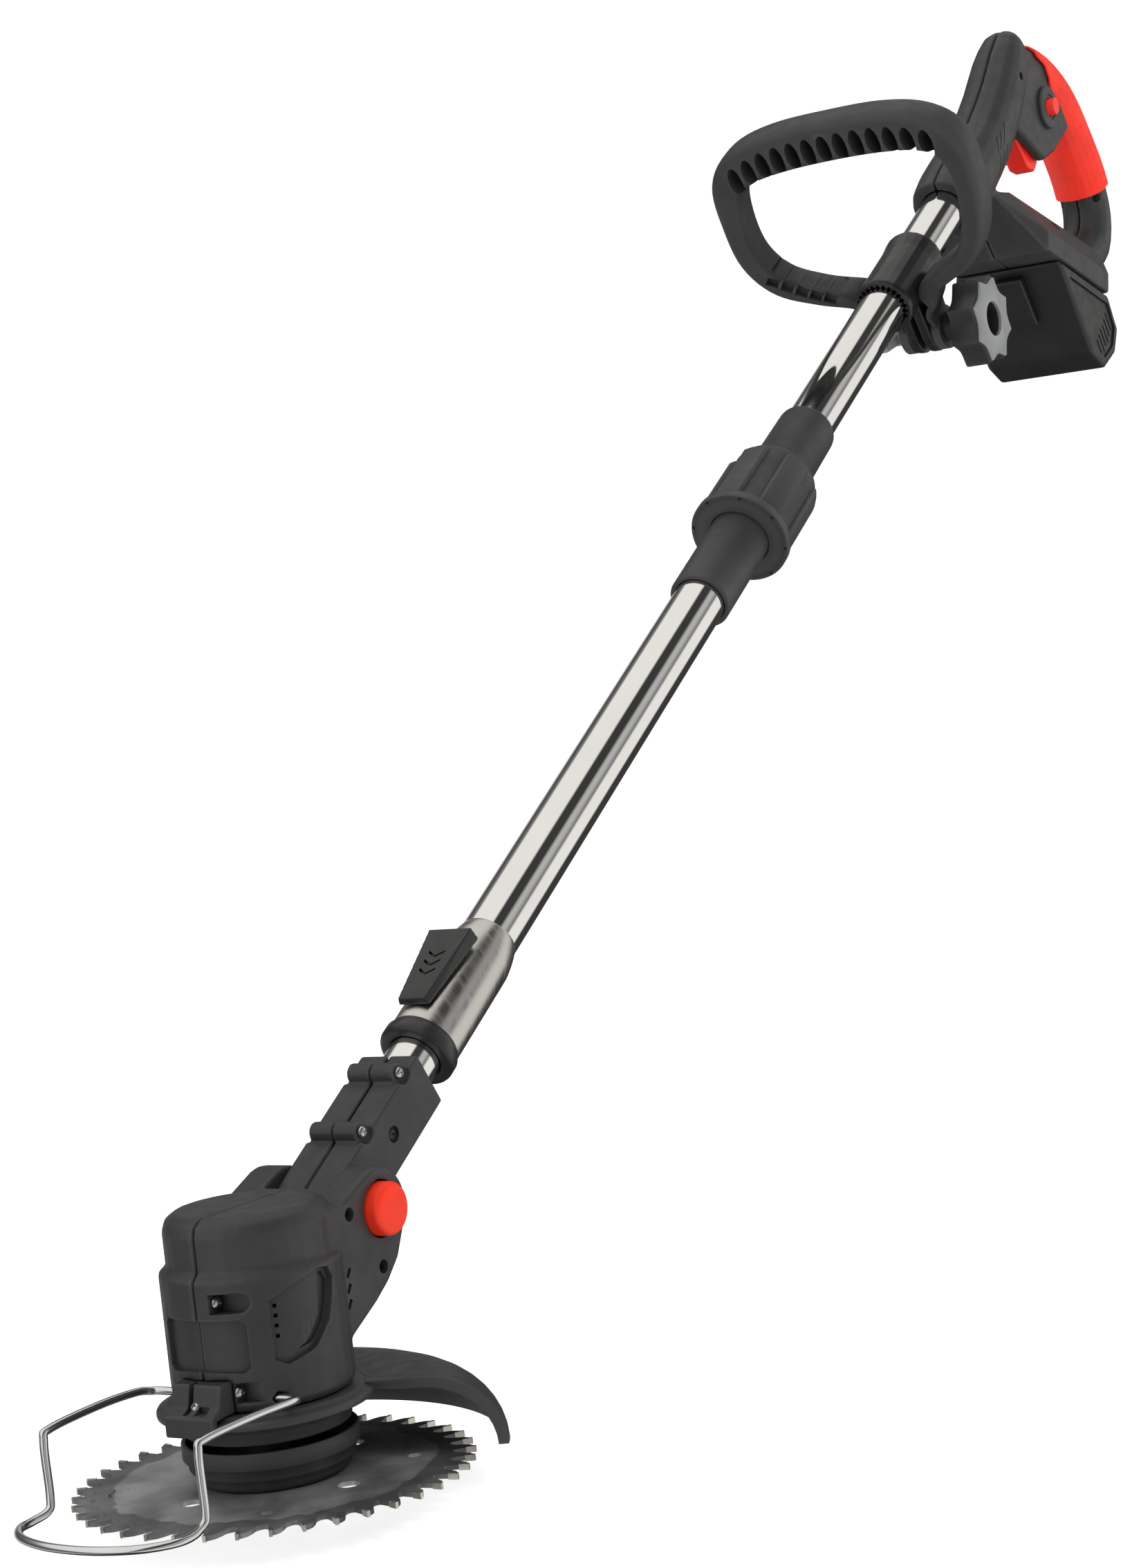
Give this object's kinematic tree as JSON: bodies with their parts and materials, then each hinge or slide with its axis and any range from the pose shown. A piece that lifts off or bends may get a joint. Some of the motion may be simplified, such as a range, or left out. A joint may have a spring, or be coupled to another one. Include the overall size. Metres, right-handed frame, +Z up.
{
  "type": "string trimmer",
  "caption": "Cordless string trimmer with a saw blade, tilting motor head, telescopic chromed pole, clamped D handle and slide-on battery.",
  "frame": {"origin": "middle of the rear grip, where the hand holds the machine", "axes": "+X forward along the ground towards the wire guard, +Y the user's left, +Z up; the blade is level and the pole rises rearwards"},
  "size_m": [1.0396, 0.1554, 0.6339],
  "materials": {
    "moulded_black": "fine spark-eroded texture",
    "smooth_black": "satin moulded",
    "knob_grey": "moulded grey",
    "button_orange": "satin moulded",
    "grip_red": "soft overmold",
    "chromed_tube": "polished",
    "brushed_steel": "brushed round the tube",
    "blade_steel": "ground and printed",
    "bright_zinc": "zinc plated",
    "winding_copper": "enamelled winding"
  },
  "bodies": {
    "rear_handle": {"handle_shell_left": "moulded_black", "handle_shell_right": "moulded_black", "grip_overmold": "grip_red", "switch_unit": "smooth_black", "terminal_block": "knob_grey", "upper_tube": "chromed_tube", "upper_sleeve": "moulded_black", "lower_sleeve": "moulded_black", "lower_tube": "chromed_tube", "bell_end_ring": "smooth_black"},
    "trigger": {"trigger": "grip_red"},
    "lock_off_button": {"lock_off_button": "grip_red"},
    "battery": {"battery_case": "moulded_black", "battery_core": "knob_grey"},
    "battery_latch": {"battery_latch": "moulded_black"},
    "union_nut": {"union_nut": "moulded_black"},
    "release_button": {"release_button": "smooth_black"},
    "inner_pole": {"inner_tube": "chromed_tube", "neck_left": "moulded_black", "neck_right": "moulded_black", "neck_screw_lower": "bright_zinc", "neck_screw_upper": "bright_zinc"},
    "head": {"motor_housing_left": "moulded_black", "motor_housing_right": "moulded_black", "housing_base": "moulded_black", "debris_guard": "moulded_black", "motor_can": "brushed_steel", "lower_bearing": "blade_steel", "tilt_pin": "blade_steel", "guard_clip": "moulded_black", "housing_screw_upper": "bright_zinc", "housing_screw_lower": "bright_zinc"},
    "tilt_button_left": {"tilt_button_left": "button_orange"},
    "tilt_button_right": {"tilt_button_right": "button_orange"},
    "spindle": {"spindle": "blade_steel", "saw_blade": "blade_steel", "blade_cup": "moulded_black", "blade_washer": "bright_zinc", "blade_nut": "bright_zinc", "rotor": "winding_copper"},
    "wire_guard": {"wire_guard": "bright_zinc"},
    "aux_clamp": {"aux_clamp": "smooth_black", "clamp_bolt": "bright_zinc"},
    "aux_handle": {"aux_handle": "moulded_black"},
    "clamp_knob": {"clamp_knob": "knob_grey"},
    "wing_nut": {"wing_nut": "knob_grey"}
  },
  "joints": [
    {"name": "trigger_pull", "type": "slide", "parent": "rear_handle", "child": "trigger", "axis": [-0.415, 0, 0.9098], "range_m": [0, 0.006], "stiffness_N_per_m": 400, "springref_m": -0.002},
    {"name": "lock_off_press", "type": "slide", "parent": "rear_handle", "child": "lock_off_button", "axis": [0, -1, 0], "range_m": [0, 0.003], "stiffness_N_per_m": 300, "springref_m": -0.002},
    {"name": "battery_slide", "type": "slide", "parent": "rear_handle", "child": "battery", "axis": [-0.5388, 0, -0.8425], "range_m": [0, 0.1]},
    {"name": "battery_latch_press", "type": "slide", "parent": "battery", "child": "battery_latch", "axis": [-0.5388, 0, -0.8425], "range_m": [0, 0.003], "stiffness_N_per_m": 300, "springref_m": -0.002},
    {"name": "union_nut_turn", "type": "hinge", "parent": "rear_handle", "child": "union_nut", "pos_m": [0.45827, 0, -0.23373], "axis": [-0.8425, 0, 0.5388], "range_deg": [0, 720]},
    {"name": "release_press", "type": "slide", "parent": "rear_handle", "child": "release_button", "axis": [-0.8425, 0, 0.5388], "range_m": [0, 0.005], "stiffness_N_per_m": 300, "springref_m": -0.002},
    {"name": "telescope", "type": "slide", "parent": "rear_handle", "child": "inner_pole", "axis": [0.8425, 0, -0.5388], "range_m": [0, 0.2]},
    {"name": "head_tilt", "type": "hinge", "parent": "inner_pole", "child": "head", "pos_m": [0.83991, 0, -0.47779], "axis": [0, 1, 0], "range_deg": [-50, 32]},
    {"name": "tilt_button_left_press", "type": "slide", "parent": "head", "child": "tilt_button_left", "axis": [0, -1, 0], "range_m": [0, 0.004], "stiffness_N_per_m": 300, "springref_m": -0.002},
    {"name": "tilt_button_right_press", "type": "slide", "parent": "head", "child": "tilt_button_right", "axis": [0, 1, 0], "range_m": [0, 0.004], "stiffness_N_per_m": 300, "springref_m": -0.002},
    {"name": "spindle_turn", "type": "hinge", "parent": "head", "child": "spindle", "pos_m": [0.88491, 0, -0.56779], "axis": [0, 0, 1], "continuous": true},
    {"name": "wire_guard_fold", "type": "hinge", "parent": "head", "child": "wire_guard", "pos_m": [0.9069, 0, -0.53159], "axis": [0, -1, 0], "range_deg": [0, 95]},
    {"name": "clamp_slide", "type": "slide", "parent": "rear_handle", "child": "aux_clamp", "axis": [0.8425, 0, -0.5388], "range_m": [-0.04, 0.09]},
    {"name": "aux_handle_tilt", "type": "hinge", "parent": "aux_clamp", "child": "aux_handle", "pos_m": [0.22014, 0, -0.12536], "axis": [0, 1, 0], "range_deg": [0, 20]},
    {"name": "knob_turn", "type": "hinge", "parent": "aux_clamp", "child": "clamp_knob", "pos_m": [0.22014, 0, -0.12536], "axis": [0, 1, 0], "range_deg": [0, 720]},
    {"name": "wing_nut_turn", "type": "hinge", "parent": "aux_clamp", "child": "wing_nut", "pos_m": [0.22014, 0, -0.12536], "axis": [0, 1, 0], "range_deg": [0, 360]}
  ]
}
